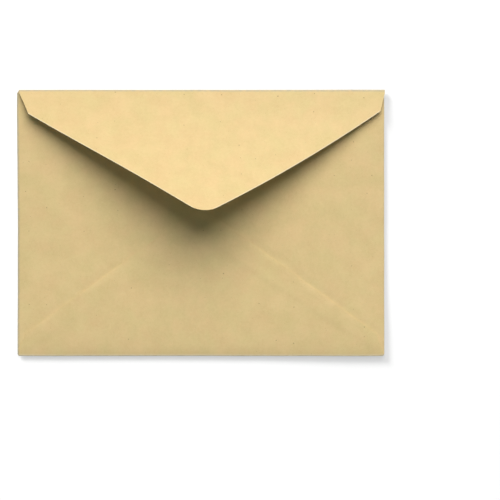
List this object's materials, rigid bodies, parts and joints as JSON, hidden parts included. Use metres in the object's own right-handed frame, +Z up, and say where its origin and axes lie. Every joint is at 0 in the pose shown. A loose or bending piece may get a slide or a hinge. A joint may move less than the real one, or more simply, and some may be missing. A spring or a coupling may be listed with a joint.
{
  "type": "paper envelope",
  "caption": "Kraft paper envelope for a greeting card, lying address side down, with its pointed flap standing partly open above a flat pocket.",
  "frame": {"origin": "on the surface that the envelope lies on, under the middle of its address panel", "axes": "+X along the width, +Y towards the fold of the top flap, +Z up, out of the back of the envelope"},
  "size_m": [0.1842, 0.1334, 0.0354],
  "materials": {
    "kraft_paper": "matte"
  },
  "bodies": {
    "root": {"envelope": "kraft_paper"}
  },
  "joints": []
}
